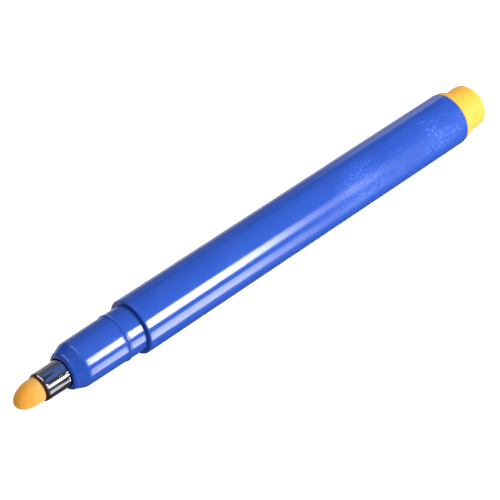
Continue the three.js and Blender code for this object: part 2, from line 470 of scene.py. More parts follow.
@dataclass(frozen=True)
class GlossyBlue(Finish):
    """Glossy moulded blue plastic with hairline scratches, and scuffs towards the plug; along the side
    that faces the key light the scuffs are paler, partly real wear and partly a painted highlight.

    Attributes:
        name: Name of the material.
        colour: Base colour of clean plastic.
        deep_colour: Colour where the wall is thick or shaded.
        scuff_and_highlight_colour: Paler colour of scuffed specks, partly their wear and partly a painted
            highlight.
        scuff_start: Place along X where scuffs begin; beyond the pen there are none.
        scuff_full: Place along X where they are thickest.
        scuff_amount: How strong the scuffs are, from 0 to 1.
        key_lit_side: Distances towards the side that faces the key light where the scuffs and their painted
                    highlight begin and where they are strongest.
        key_lit_side_rise: Angle of that lit side above the horizon, in degrees.
        roughness: Roughness in the cloudy pattern's lows and highs.
        scuff_roughness: Roughness that a full scuff adds.
        worn_roughness: Roughness that handling adds where scuffs are thickest.
        scratch_depth: Depth of the hairlines.
    """

    name: str
    colour: tuple[float, float, float] = (0.0114, 0.0415, 0.2275)
    deep_colour: tuple[float, float, float] = (0.0102, 0.0382, 0.213)
    scuff_and_highlight_colour: tuple[float, float, float] = (0.07, 0.18, 0.7)
    scuff_start: float = 1.0
    scuff_full: float = 2.0
    scuff_amount: float = 0.3
    key_lit_side: tuple[float, float] = (8.4 * MM, 10.2 * MM)
    key_lit_side_rise: float = 40.0
    roughness: tuple[float, float] = (0.11, 0.17)
    scuff_roughness: float = 0.35
    worn_roughness: float = 0.045
    scratch_depth: float = 0.004 * MM

    def material(self) -> bpy.types.Material:
        """The finish as a material."""
        sheet = NodeSheet(self.name)
        clouds = sheet.noise(sheet.mapped((70, 160, 160)), detail=3)
        colour = sheet.blend(sheet.share(clouds, 0.3, 0.7), self.deep_colour, self.colour)
        place = sheet.share(sheet.along(), self.scuff_start, self.scuff_full)
        specks = sheet.noise(sheet.mapped((1300, 2400, 2400), turn_deg=(0, 0, 30)), detail=4, roughness=0.7)
        patches = sheet.noise(sheet.mapped((100, 240, 240), shift=(3, 1, 2)), detail=3)
        scuffs_and_highlight = sheet.times(sheet.share(specks, 0.42, 0.7), sheet.share(patches, 0.36, 0.62))
        scuffs_and_highlight = sheet.times(sheet.times(scuffs_and_highlight, place), self.scuff_amount)
        # Painted highlight: the scuffs are kept mostly to the side that faces the key light, where they show
        # as paler specks.
        key_lit_band = sheet.share(sheet.sideways(self.key_lit_side_rise), *self.key_lit_side, 0.1, 1.0)
        scuffs_and_highlight = sheet.times(scuffs_and_highlight, key_lit_band)
        # The paler scuff colour is partly wear and partly a painted highlight on the lit side.
        sheet.join(sheet.blend(scuffs_and_highlight, colour, self.scuff_and_highlight_colour), "Base Color")
        hairs = sheet.noise(sheet.mapped((60, 3800, 3800)), detail=2)
        slanted = sheet.noise(sheet.mapped((90, 2600, 2600), turn_deg=(0, 24, 38)), detail=2)
        hairlines = sheet.plus(sheet.share(hairs, 0.68, 0.76), sheet.share(slanted, 0.7, 0.77))
        hairlines = sheet.times(hairlines, sheet.share(place, 0.0, 1.0, 0.2, 1.0))
        rough = sheet.share(clouds, 0.3, 0.7, *self.roughness)
        rough = sheet.plus(rough, sheet.times(scuffs_and_highlight, self.scuff_roughness))
        rough = sheet.plus(rough, sheet.times(place, self.worn_roughness))
        sheet.join(rough, "Roughness")
        scratches = sheet.plus(hairlines, sheet.times(scuffs_and_highlight, 0.3))
        sheet.relief(scratches, self.scratch_depth, strength=0.4)
        sheet.set(IOR=1.49)
        return sheet.material


@dataclass(frozen=True)
class PlatedSleeve(Finish):
    """Bright plated metal with faint lengthwise streaks, and ink stains by its front lip.

    Attributes:
        name: Name of the material.
        lip_station: Place along X of the front lip.
        stain_length: How far the stain reaches behind the lip.
        colour: Colour of the plating.
        streak_colour: Colour of its lengthwise streaks.
        stain_colour: Colour of the dried ink.
        roughness: Roughness where it is clean and where it is smeared.
        stain_roughness: Roughness that the dried ink adds.
        streak_depth: Depth of the streaks.
    """

    name: str
    lip_station: float
    stain_length: float = 1.3 * MM
    colour: tuple[float, float, float] = (0.64, 0.66, 0.74)
    streak_colour: tuple[float, float, float] = (0.44, 0.42, 0.46)
    stain_colour: tuple[float, float, float] = (0.26, 0.11, 0.045)
    roughness: tuple[float, float] = (0.02, 0.024)
    stain_roughness: float = 0.4
    streak_depth: float = 0.001 * MM

    def material(self) -> bpy.types.Material:
        """The finish as a material."""
        sheet = NodeSheet(self.name)
        blots = sheet.noise(sheet.mapped((900, 900, 900)), detail=4)
        stain_end = self.lip_station + self.stain_length
        reach = sheet.share(sheet.along(), self.lip_station, stain_end, 1.0, 0.0)
        stain = sheet.times(reach, sheet.share(blots, 0.2, 0.5))
        streaks = sheet.noise(sheet.mapped((60, 1500, 1500)), detail=2)
        plating = sheet.blend(sheet.share(streaks, 0.42, 0.62), self.colour, self.streak_colour)
        sheet.join(sheet.blend(stain, plating, self.stain_colour), "Base Color")
        smears = sheet.noise(sheet.mapped((160, 400, 400)), detail=3)
        rough = sheet.share(smears, 0.3, 0.75, *self.roughness)
        sheet.join(sheet.plus(rough, sheet.times(stain, self.stain_roughness)), "Roughness")
        sheet.relief(streaks, self.streak_depth, strength=0.3)
        sheet.set(Metallic=1.0)
        return sheet.material


@dataclass(frozen=True)
class InkedFelt(Finish):
    """Bonded felt soaked with amber ink, its fibres running along the nib, with painted shade between fibres.

    Attributes:
        name: Name of the material.
        tip_station: Place along X of the nib's tip.
        rim_station: Place along X where the felt enters its sleeve.
        tip_colour: Colour of the wet front.
        base_colour: Colour of the paler felt by the sleeve.
        gap_shade_colour: Darker colour between fibres, painted shade in the recesses.
        seep_colour: Colour of dried ink right at the sleeve.
        seep_start: How far in front of the sleeve's lip the dried ink begins.
        seep_end: How far behind the lip it has gone.
        roughness: Roughness between fibres and on them.
        fibre_depth: Depth of the fibres.
    """

    name: str
    tip_station: float
    rim_station: float
    tip_colour: tuple[float, float, float] = (0.42, 0.182, 0.018)
    base_colour: tuple[float, float, float] = (0.35, 0.205, 0.05)
    gap_shade_colour: tuple[float, float, float] = (0.28, 0.095, 0.012)
    seep_colour: tuple[float, float, float] = (0.1, 0.035, 0.008)
    seep_start: float = 0.25 * MM
    seep_end: float = 0.7 * MM
    roughness: tuple[float, float] = (0.98, 0.78)
    fibre_depth: float = 0.05 * MM

    def material(self) -> bpy.types.Material:
        """The finish as a material."""
        sheet = NodeSheet(self.name)
        place = sheet.along()
        length = self.rim_station - self.tip_station
        paler = sheet.share(place, self.tip_station + 0.35 * length, self.rim_station)
        colour = sheet.blend(paler, self.tip_colour, self.base_colour)
        fibres = sheet.noise(sheet.mapped((420, 5200, 5200)), detail=3, roughness=0.6)
        # Painted shade: the colour darkens where the fibre relief is low, between fibres, more towards the
        # sleeve.
        gap_shade = sheet.times(sheet.share(fibres, 0.46, 0.3), sheet.share(paler, 0.0, 1.0, 0.35, 0.8))
        colour = sheet.blend(gap_shade, colour, self.gap_shade_colour)
        rim = self.rim_station
        seep = sheet.share(place, rim - self.seep_start, rim + 0.02 * MM)
        behind = sheet.share(place, rim + 0.2 * MM, rim + self.seep_end, 1.0, 0.0)
        seep = sheet.times(seep, behind)
        sheet.join(sheet.blend(seep, colour, self.seep_colour), "Base Color")
        sheet.join(sheet.share(fibres, 0.2, 0.8, *self.roughness), "Roughness")
        fluff = sheet.noise(sheet.mapped((2600, 6500, 6500), shift=(5, 2, 9)), detail=4, roughness=0.7)
        pile = sheet.plus(sheet.times(fibres, 0.6), sheet.times(fluff, 0.4))
        sheet.relief(pile, self.fibre_depth, strength=0.55)
        sheet.set(Subsurface_Weight=0.12, Subsurface_Scale=0.6 * MM, Subsurface_Radius=(1.0, 0.5, 0.15),
                  Sheen_Weight=0.05, Sheen_Roughness=0.6, Specular_IOR_Level=0.2)
        return sheet.material


@dataclass(frozen=True)
class SatinYellow(Finish):
    """Satin moulded yellow polyethylene, a little waxy.

    Attributes:
        name: Name of the material.
        colour: Base colour.
        warm_colour: Colour of the warmer clouds in it.
        roughness: Roughness in the cloudy pattern's lows and highs.
        grain_depth: Depth of the fine mould grain.
    """

    name: str
    colour: tuple[float, float, float] = (0.45, 0.245, 0.026)
    warm_colour: tuple[float, float, float] = (0.44, 0.225, 0.022)
    roughness: tuple[float, float] = (0.42, 0.52)
    grain_depth: float = 0.006 * MM

    def material(self) -> bpy.types.Material:
        """The finish as a material."""
        sheet = NodeSheet(self.name)
        clouds = sheet.noise(sheet.mapped((150, 150, 150)), detail=3)
        sheet.join(sheet.blend(sheet.share(clouds, 0.35, 0.7), self.warm_colour, self.colour), "Base Color")
        grain = sheet.noise(sheet.mapped((3200, 3200, 3200)), detail=3)
        rough = sheet.share(clouds, 0.3, 0.7, *self.roughness)
        sheet.join(sheet.plus(rough, sheet.share(grain, 0.3, 0.8, 0.0, 0.08)), "Roughness")
        sheet.relief(grain, self.grain_depth, strength=0.5)
        sheet.set(IOR=1.51, Specular_IOR_Level=0.3, Subsurface_Weight=0.2, Subsurface_Scale=0.8 * MM,
                  Subsurface_Radius=(1.0, 0.6, 0.12))
        return sheet.material


@dataclass(frozen=True)
class NaturalPolyethylene(Finish):
    """Uncoloured, milky polyethylene, tinted by ink in its clouds.

    Attributes:
        name: Name of the material.
        colour: Base colour.
        ink_colour: Colour where ink has seeped.
        roughness: Roughness in the cloudy pattern's lows and highs.
        grain_depth: Depth of the fine mould grain.
    """

    name: str
    colour: tuple[float, float, float] = (0.78, 0.81, 0.82)
    ink_colour: tuple[float, float, float] = (0.8, 0.6, 0.32)
    roughness: tuple[float, float] = (0.38, 0.55)
    grain_depth: float = 0.008 * MM

    def material(self) -> bpy.types.Material:
        """The finish as a material."""
        sheet = NodeSheet(self.name)
        clouds = sheet.noise(sheet.mapped((330, 330, 330)), detail=4)
        sheet.join(sheet.blend(sheet.share(clouds, 0.5, 0.75), self.colour, self.ink_colour), "Base Color")
        sheet.join(sheet.share(clouds, 0.2, 0.8, *self.roughness), "Roughness")
        grain = sheet.noise(sheet.mapped((2600, 2600, 2600)), detail=2)
        sheet.relief(grain, self.grain_depth, strength=0.4)
        sheet.set(IOR=1.51, Subsurface_Weight=0.35, Subsurface_Scale=1.0 * MM)
        return sheet.material


@dataclass(frozen=True)
class CrimpedFibre(Finish):
    """Crimped polyester fibre packed lengthways and damp with ink, with painted shade between strands.

    Attributes:
        name: Name of the material.
        dry_colour: Colour of dry fibre.
        damp_colour: Colour of inked fibre.
        gap_shade_colour: Darker colour between strands, painted shade in the recesses.
        roughness: Roughness between strands and on them.
        strand_depth: Depth of the finest strands.
    """

    name: str
    dry_colour: tuple[float, float, float] = (0.86, 0.78, 0.6)
    damp_colour: tuple[float, float, float] = (0.84, 0.46, 0.1)
    gap_shade_colour: tuple[float, float, float] = (0.5, 0.24, 0.05)
    roughness: tuple[float, float] = (1.0, 0.8)
    strand_depth: float = 0.06 * MM

    def material(self) -> bpy.types.Material:
        """The finish as a material."""
        sheet = NodeSheet(self.name)
        damp = sheet.noise(sheet.mapped((70, 240, 240)), detail=3)
        strands = sheet.noise(sheet.mapped((260, 6800, 6800)), detail=3, roughness=0.65)
        colour = sheet.blend(sheet.share(damp, 0.25, 0.55), self.dry_colour, self.damp_colour)
        # Painted shade: the colour darkens where the strand relief is low, between strands.
        sheet.join(sheet.blend(sheet.share(strands, 0.42, 0.3), colour, self.gap_shade_colour), "Base Color")
        sheet.join(sheet.share(strands, 0.2, 0.8, *self.roughness), "Roughness")
        sheet.relief(strands, self.strand_depth, strength=0.7)
        return sheet.material


@dataclass(frozen=True)
class ClearFilm(Finish):
    """Thin clear film wrapped round the fibre.

    Attributes:
        name: Name of the material.
        colour: Colour of the film.
        crease_colour: Colour of its creases.
        roughness: Roughness of flat film and of creases.
        crease_depth: Depth of the finest creases.
    """

    name: str
    colour: tuple[float, float, float] = (0.9, 0.84, 0.7)
    crease_colour: tuple[float, float, float] = (0.97, 0.95, 0.88)
    roughness: tuple[float, float] = (0.12, 0.3)
    crease_depth: float = 0.03 * MM

    def material(self) -> bpy.types.Material:
        """The finish as a material."""
        sheet = NodeSheet(self.name)
        creases = sheet.noise(sheet.mapped((120, 900, 900)), detail=4, roughness=0.6)
        sheet.join(sheet.blend(sheet.share(creases, 0.5, 0.7), self.colour, self.crease_colour), "Base Color")
        sheet.join(sheet.share(creases, 0.3, 0.7, *self.roughness), "Roughness")
        sheet.relief(creases, self.crease_depth, strength=0.5)
        sheet.set(IOR=1.45, Coat_Weight=0.3, Coat_Roughness=0.08)
        return sheet.material


@dataclass(frozen=True)
class PaleFloor(Finish):
    """Plain pale floor, a white sheet lit a little from below.

    Attributes:
        name: Name of the material.
        colour: Colour of the floor.
        glow: Radiance of the light that comes through it.
        roughness: Roughness in the cloudy pattern's lows and highs.
    """

    name: str
    colour: tuple[float, float, float] = (0.93, 0.93, 0.94)
    glow: float = 0.35
    roughness: tuple[float, float] = (0.8, 0.95)

    def material(self) -> bpy.types.Material:
        """The finish as a material."""
        sheet = NodeSheet(self.name)
        clouds = sheet.noise(sheet.mapped((3, 3, 3)), detail=2)
        sheet.join(sheet.share(clouds, 0.2, 0.8, *self.roughness), "Roughness")
        sheet.set(Base_Color=(*self.colour, 1.0), IOR=1.3, Emission_Color=(1.0, 1.0, 1.0, 1.0),
                  Emission_Strength=self.glow)
        return sheet.material


# ---------------------------------------------------------------- places and pieces


@dataclass(frozen=True)
class Seat:
    """Where a CAD node sits on the pen's axis.

    Attributes:
        front: Its lowest place along X.
        rear: Its highest place along X.
        radius: Its outer radius, across its flats.
        axis_height: Height of the axis above the floor.
    """

    front: float
    rear: float
    radius: float
    axis_height: float

    @classmethod
    def of(cls, node: str) -> Seat:
        """Read a node's seat from its box.

        Args:
            node: Name of the CAD node.

        Returns:
            The seat.
        """
        low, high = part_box(node)
        return cls(low.x, high.x, (high.z - low.z) / 2, (high.z + low.z) / 2)


def smooth_step(value: np.ndarray, low: float, high: float) -> np.ndarray:
    """Rise from 0 at low to 1 at high along the cubic 3t² - 2t³."""
    share = np.clip((value - low) / (high - low), 0.0, 1.0)
    return share * share * (3.0 - 2.0 * share)


def strands(stations: np.ndarray, angles: np.ndarray, count: int, length: float,
            seed: int) -> np.ndarray:
    """A lengthways fibre pattern from -1 to 1 over stations and angles.

    Each of count strands round the axis has a random height every length along it. The pattern
    runs straight from one height to the next along a strand, and from strand to strand it follows
    half a cosine, so it is smooth round the axis and closes on itself.

    Args:
        stations: Places along X, one per outline corner.
        angles: Angles round the axis.
        count: How many strands go round.
        length: Distance between two random heights of a strand.
        seed: Seed of the random heights.

    Returns:
        Heights as an array of stations by angles.
    """
    along = (stations - stations.min()) / length
    row = np.floor(along).astype(int)
    row_share = (along - row)[:, None]
    across = angles / (2.0 * np.pi) * count
    column = np.floor(across).astype(int)
    column_share = (0.5 - 0.5 * np.cos(np.pi * (across - column)))[None, :]
    heights = np.random.default_rng(seed).uniform(-1.0, 1.0, (row.max() + 2, count))
    here, next_to = column % count, (column + 1) % count
    low = heights[row][:, here] * (1 - column_share) + heights[row][:, next_to] * column_share
    high = heights[row + 1][:, here] * (1 - column_share) + heights[row + 1][:, next_to] * column_share
    return low * (1 - row_share) + high * row_share


def bars_round(angles: np.ndarray, count: int, half_width: float, edge: float) -> np.ndarray:
    """A pattern of count equal bars round the axis, 1 on a bar and 0 between bars.

    The angle to the nearest bar's middle is the angle folded into one bar's share of the circle,
    and the pattern falls along a cubic from 1 to 0 over the bar's edge.

    Args:
        angles: Angles round the axis.
        count: How many bars.
        half_width: Half of a bar's width, as an angle.
        edge: Width of each bar's sloping edge, as an angle.

    Returns:
        The pattern, one value per angle.
    """
    pitch = 2.0 * np.pi / count
    off_middle = np.abs((angles + pitch / 2) % pitch - pitch / 2)
    return 1.0 - smooth_step(off_middle, half_width, half_width + edge)


def finished_piece(mesh: bpy.types.Mesh, finish: Finish, node: str, body: str) -> bpy.types.Object:
    """Dress a mesh, stand it in for its CAD node and let it ride on its body.

    Args:
        mesh: The piece's mesh, already in place.
        finish: Its finish.
        node: The CAD node that it replaces.
        body: The CAD body that it rides on.

    Returns:
        The new object.
    """
    piece = bpy.data.objects.new(mesh.name, mesh)
    bpy.context.scene.collection.objects.link(piece)
    mesh.materials.append(finish.material())
    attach(piece, body)
    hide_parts(node)
    LOG.info("%s: %d faces, rides on %s", piece.name, len(mesh.polygons), body)
    return piece


@dataclass
class BarrelTube:
    """The barrel: a plain tube with rounded rims and a snap groove in its bore.

    Attributes:
        bore: Radius of the bore.
        rim_round: Radius of the outer rounds at both rims.
        bore_round: Radius of the inner rounds at both rims.
        groove_station: Distance of the snap groove's middle from the front rim.
        groove_width: Width of the groove.
        groove_depth: Depth of the groove.
        scuff_start: Where scuffs begin, from the barrel's middle.
        scuff_full: Where they are thickest, from the barrel's middle.
        seat: Where the barrel sits.
    """

    bore: float = 5.2 * MM
    rim_round: float = 0.35 * MM
    bore_round: float = 0.1 * MM
    groove_station: float = 4.0 * MM
    groove_width: float = 1.0 * MM
    groove_depth: float = 0.2 * MM
    scuff_start: float = -4.0 * MM
    scuff_full: float = 22.0 * MM
    seat: Seat = field(default_factory=lambda: Seat.of("barrel"))

    def outline(self) -> np.ndarray:
        """The tube's half section."""
        seat, rim, inner = self.seat, self.rim_round, self.bore_round
        groove = seat.front + self.groove_station
        half = self.groove_width / 2
        line = Outline(seat.front, self.bore + inner)
        line.line(seat.front, seat.radius - rim, steps=3)
        line.round(seat.front + rim, seat.radius, Leaving.OUTWARDS)
        line.line(seat.rear - rim, seat.radius, steps=90)
        line.round(seat.rear, seat.radius - rim, Leaving.ALONG)
        line.line(seat.rear, self.bore + inner, steps=3)
        line.round(seat.rear - inner, self.bore, Leaving.OUTWARDS, steps=4)
        line.line(groove + half, self.bore, steps=40)
        line.line(groove + half, self.bore + self.groove_depth)
        line.line(groove - half, self.bore + self.groove_depth)
        line.line(groove - half, self.bore)
        line.line(seat.front + inner, self.bore, steps=4)
        line.round(seat.front, self.bore + inner, Leaving.ALONG, steps=4)
        return line.points()[:-1]

    def finish(self) -> Finish:
        """Glossy blue that is scuffed over its rear half, the scuffs paler on the side facing the key light
        as a painted highlight.
        """
        middle = (self.seat.front + self.seat.rear) / 2
        start, full = middle + self.scuff_start, middle + self.scuff_full
        return GlossyBlue("barrel_blue", scuff_start=start, scuff_full=full)

    def build(self) -> bpy.types.Object:
        """Make the barrel."""
        mesh = Turned(self.outline(), self.seat.axis_height).mesh("barrel_tube")
        return finished_piece(mesh, self.finish(), "barrel", "pen_body")


@dataclass
class FrontSection:
    """The neck with its nose and bead, and the stepped spigot inside the barrel.

    Attributes:
        nose_bore: Radius of the nose's mouth.
        nose_bore_depth: How deep that mouth goes.
        nose_round: Radius of the rounded nose lip.
        cone_length: Length of the cone behind the lip.
        neck_front: Neck radius behind the cone.
        neck_rear: Neck radius at the barrel's rim.
        shoulder_blend: How far the soft corner between cone and neck reaches each way.
        bead_station: Distance of the snap bead in front of the barrel's rim.
        bead_width: Width of the bead.
        bead_crest: Width of its flat top.
        bead_height: Height of the bead.
        rim_gap: Gap between the neck's rear face and the barrel's rim.
        spigot: Radius of the spigot.
        snap_station: Distance of the snap ring behind the rim.
        snap_width: Width of the snap ring.
        snap_height: Height of the snap ring.
        collar_bore: Bore round the nib holder's collar.
        holder_bore: Bore round the nib holder.
        ferrule_bore: Bore round the ferrule.
        collar_length: Length of the nib holder's collar.
        seat: Where the section sits.
        holder_seat: Where the nib holder sits.
        rim: Place along X of the barrel's front rim.
    """

    nose_bore: float = 3.5 * MM
    nose_bore_depth: float = 0.7 * MM
    nose_round: float = 0.92 * MM
    cone_length: float = 2.23 * MM
    neck_front: float = 5.33 * MM
    neck_rear: float = 5.47 * MM
    shoulder_blend: float = 0.4 * MM
    bead_station: float = 4.55 * MM
    bead_width: float = 1.0 * MM
    bead_crest: float = 0.2 * MM
    bead_height: float = 0.2 * MM
    rim_gap: float = 0.05 * MM
    spigot: float = 5.15 * MM
    snap_station: float = 4.0 * MM
    snap_width: float = 0.7 * MM
    snap_height: float = 0.15 * MM
    collar_bore: float = 4.37 * MM
    holder_bore: float = 3.97 * MM
    ferrule_bore: float = 3.33 * MM
    collar_length: float = 1.2 * MM
    seat: Seat = field(default_factory=lambda: Seat.of("front_section"))
    holder_seat: Seat = field(default_factory=lambda: Seat.of("nib_holder"))
    rim: float = field(default_factory=lambda: Seat.of("barrel").front)

    def neck_radius(self, station: float, cone_end: float) -> float:
        """Radius of the tapered neck at a station, between the cone's end and the rim."""
        share = (station - cone_end) / (self.rim - cone_end)
        return self.neck_front + share * (self.neck_rear - self.neck_front)

    def draw_nose(self, line: Outline) -> float:
        """Draw the rounded lip, the cone and the soft corner to the neck.

        Args:
            line: The outline so far, which ends at the nose bore.

        Returns:
            Place along X where the cone would end without its soft corner.
        """
        lip = (self.seat.front + self.nose_round, self.nose_bore + self.nose_round)
        cone_end = lip[0] + self.cone_length
        slope = (self.neck_front - lip[1]) / self.cone_length
        blend = self.shoulder_blend
        after = self.neck_radius(cone_end + blend, cone_end)
        line.round(lip[0], lip[1], Leaving.OUTWARDS, steps=12)
        line.line(cone_end - blend, self.neck_front - slope * blend, steps=6)
        line.bend(cone_end, self.neck_front, cone_end + blend, after)
        return cone_end

    def draw_bead(self, line: Outline, cone_end: float) -> None:
        """Draw the neck up to the bead and the bead with its sloping flanks.

        Args:
            line: The outline so far, which ends on the neck.
            cone_end: Place along X where the nose's cone ends.
        """
        bead = self.rim - self.bead_station
        foot = self.neck_radius(bead, cone_end)
        half, crest, top = self.bead_width / 2, self.bead_crest / 2, foot + self.bead_height
        line.line(bead - half, foot, steps=16)
        line.ramp(bead - crest, top)
        line.line(bead + crest, top)
        line.ramp(bead + half, foot)

    def outline(self) -> np.ndarray:
        """The section's half section."""
        nose, rim = self.seat.front, self.rim
        snap = rim + self.snap_station
        holder_front = self.holder_seat.front - self.rim_gap
        collar_front = self.holder_seat.rear - self.collar_length - self.rim_gap
        line = Outline(nose, self.nose_bore)
        self.draw_bead(line, self.draw_nose(line))
        line.line(rim - self.rim_gap, self.neck_rear, steps=10)
        line.line(rim - self.rim_gap, self.spigot)
        line.line(snap - self.snap_width / 2, self.spigot, steps=4)
        line.round(snap, self.spigot + self.snap_height, Leaving.OUTWARDS, steps=4)
        line.round(snap + self.snap_width / 2, self.spigot, Leaving.ALONG, steps=4)
        line.line(self.seat.rear, self.spigot, steps=2)
        line.line(self.seat.rear, self.collar_bore)
        line.line(collar_front, self.collar_bore, steps=4)
        line.line(collar_front, self.holder_bore)
        line.line(holder_front, self.holder_bore, steps=6)
        line.line(holder_front, self.ferrule_bore)
        line.line(nose + self.nose_bore_depth, self.ferrule_bore, steps=6)
        line.line(nose + self.nose_bore_depth, self.nose_bore)
        return line.points()

    def build(self) -> bpy.types.Object:
        """Make the front section."""
        mesh = Turned(self.outline(), self.seat.axis_height).mesh("front_section_neck")
        finish = GlossyBlue("section_blue")
        return finished_piece(mesh, finish, "front_section", "pen_body")


@dataclass
class NibFerrule:
    """The plated sleeve round the nib, rolled in at its front.

    Attributes:
        front_radius: Outer radius behind the rolled lip.
        rear_radius: Outer radius at the rear.
        bore: Radius of the bore.
        lip_bore: Radius of the rolled lip's mouth.
        lip_length: Length of the rolled lip.
        lip_edge: How much of that length the lip's mouth is set back.
        seat: Where the sleeve sits.
    """

    front_radius: float = 3.22 * MM
    rear_radius: float = 3.28 * MM
    bore: float = 2.9 * MM
    lip_bore: float = 2.84 * MM
    lip_length: float = 0.8 * MM
    lip_edge: float = 0.2
    seat: Seat = field(default_factory=lambda: Seat.of("nib_ferrule"))

    def outline(self) -> np.ndarray:
        """The sleeve's half section."""
        lip_end = self.seat.front + self.lip_length
        line = Outline(self.seat.front, self.lip_bore)
        line.round(lip_end, self.front_radius, Leaving.OUTWARDS, steps=14)
        line.line(self.seat.rear, self.rear_radius, steps=24)
        line.line(self.seat.rear, self.bore)
        line.line(lip_end, self.bore, steps=12)
        line.line(self.seat.front + self.lip_edge * self.lip_length, self.lip_bore)
        return line.points()

    def build(self) -> bpy.types.Object:
        """Make the sleeve."""
        mesh = Turned(self.outline(), self.seat.axis_height).mesh("nib_ferrule_sleeve")
        finish = PlatedSleeve("ferrule_plating", lip_station=self.seat.front)
        return finished_piece(mesh, finish, "nib_ferrule", "pen_body")


@dataclass
class BulletNib:
    """The felt nib: a bullet dome, a long stem and a short taper behind.

    Attributes:
        radius: Radius of the stem.
        dome_length: Length of the bullet dome.
        droop: How far use has bent the tip.
        droop_side: Y and Z of the way that it is bent, towards the floor and the writing side.
        taper_length: Length of the rear taper.
        rear_radius: Radius of the taper's end.
        strand_count: How many felt strands go round.
        strand_length: How long a strand runs before its height changes.
        strand_height: Height of the strands by the sleeve.
        tip_strands: Share of that height that is left on the worn tip.
        segments: How many strips go round the axis.
        seat: Where the nib sits.
        sleeve: Where the sleeve round it sits.
    """

    radius: float = 2.78 * MM
    dome_length: float = 5.0 * MM
    droop: float = 0.3 * MM
    droop_side: tuple[float, float] = (-0.79, -0.61)
    taper_length: float = 1.4 * MM
    rear_radius: float = 1.4 * MM
    strand_count: int = 96
    strand_length: float = 0.9 * MM
    strand_height: float = 0.022 * MM
    tip_strands: float = 0.25
    segments: int = 384
    seat: Seat = field(default_factory=lambda: Seat.of("nib"))
    sleeve: Seat = field(default_factory=lambda: Seat.of("nib_ferrule"))

    def outline(self) -> np.ndarray:
        """The nib's half section."""
        line = Outline(self.seat.front, 0.0)
        line.round(self.seat.front + self.dome_length, self.radius, Leaving.OUTWARDS, steps=60)
        line.line(self.sleeve.front, self.radius, steps=16)
        line.line(self.seat.rear - self.taper_length, self.radius, steps=80)
        line.line(self.seat.rear, self.rear_radius, steps=6)
        line.line(self.seat.rear, 0.0, steps=3)
        return line.points()

    def lean(self, outline: np.ndarray) -> np.ndarray:
        """How far use has bent each ring: the droop times the share of the free length to the power 1.5."""
        free = np.clip(self.sleeve.front - outline[:, 0], 0.0, None)
        share = (free / free.max()) ** 1.5
        return self.droop * share[:, None] * np.array([self.droop_side])

    def ripple(self, outline: np.ndarray, angles: np.ndarray) -> np.ndarray:
        """Strand relief: strongest by the sleeve's lip, faint on the worn tip and gone at both poles."""
        pattern = strands(outline[:, 0], angles, self.strand_count, self.strand_length, seed=11)
        dome = smooth_step(outline[:, 0], self.seat.front + 1.5 * MM, self.sleeve.front)
        solid = smooth_step(outline[:, 1], 0.0, 0.9 * MM)
        height = self.tip_strands + (1.0 - self.tip_strands) * dome
        return pattern * (self.strand_height * height * solid)[:, None]

    def build(self) -> bpy.types.Object:
        """Make the nib."""
        outline = self.outline()
        turned = Turned(outline, self.seat.axis_height, self.segments, self.lean(outline))
        mesh = turned.mesh("bullet_nib", self.ripple(outline, turned.angles()))
        finish = InkedFelt("nib_felt", tip_station=self.seat.front, rim_station=self.sleeve.front)
        return finished_piece(mesh, finish, "nib", "nib")


@dataclass
class NibHolder:
    """The fluted bush that grips the nib's stem.

    Attributes:
        radius: Radius of the body.
        collar_length: Length of the rear collar.
        bore: Radius of the bore.
        edge_round: Radius of the outer edges.
        flute_count: How many flutes go round.
        flute_width: Width of a flute.
        flute_floor: Radius of a flute's floor.
        flute_edge: Width of a flute's sloping side, as an angle.
        segments: How many strips go round the axis.
        seat: Where the bush sits.
    """

    radius: float = 3.9 * MM
    collar_length: float = 1.2 * MM
    bore: float = 2.85 * MM
    edge_round: float = 0.15 * MM
    flute_count: int = 6
    flute_width: float = 0.9 * MM
    flute_floor: float = 3.4 * MM
    flute_edge: float = 0.06
    segments: int = 288
    seat: Seat = field(default_factory=lambda: Seat.of("nib_holder"))

    def outline(self) -> np.ndarray:
        """The bush's half section."""
        seat, edge = self.seat, self.edge_round
        collar = seat.rear - self.collar_length
        line = Outline(seat.front, self.bore)
        line.line(seat.front, self.radius - edge, steps=4)
        line.round(seat.front + edge, self.radius, Leaving.OUTWARDS, steps=4)
        line.line(collar, self.radius, steps=10)
        line.line(collar, seat.radius - edge)
        line.round(collar + edge, seat.radius, Leaving.OUTWARDS, steps=4)
        line.line(seat.rear - edge, seat.radius, steps=3)
        line.round(seat.rear, seat.radius - edge, Leaving.ALONG, steps=4)
        line.line(seat.rear, self.bore, steps=4)
        return line.points()

    def ripple(self, outline: np.ndarray, angles: np.ndarray) -> np.ndarray:
        """Flutes: what stands above their floor is taken away at each bar round the axis."""
        half = self.flute_width / 2 / self.radius
        flutes = bars_round(angles, self.flute_count, half, self.flute_edge)
        above = np.maximum(outline[:, 1] - self.flute_floor, 0.0)
        return -above[:, None] * flutes[None, :]

    def build(self) -> bpy.types.Object:
        """Make the bush."""
        turned = Turned(self.outline(), self.seat.axis_height, self.segments)
        mesh = turned.mesh("nib_holder_bush", self.ripple(turned.outline, turned.angles()))
        finish = NaturalPolyethylene("holder_polyethylene")
        return finished_piece(mesh, finish, "nib_holder", "pen_body")


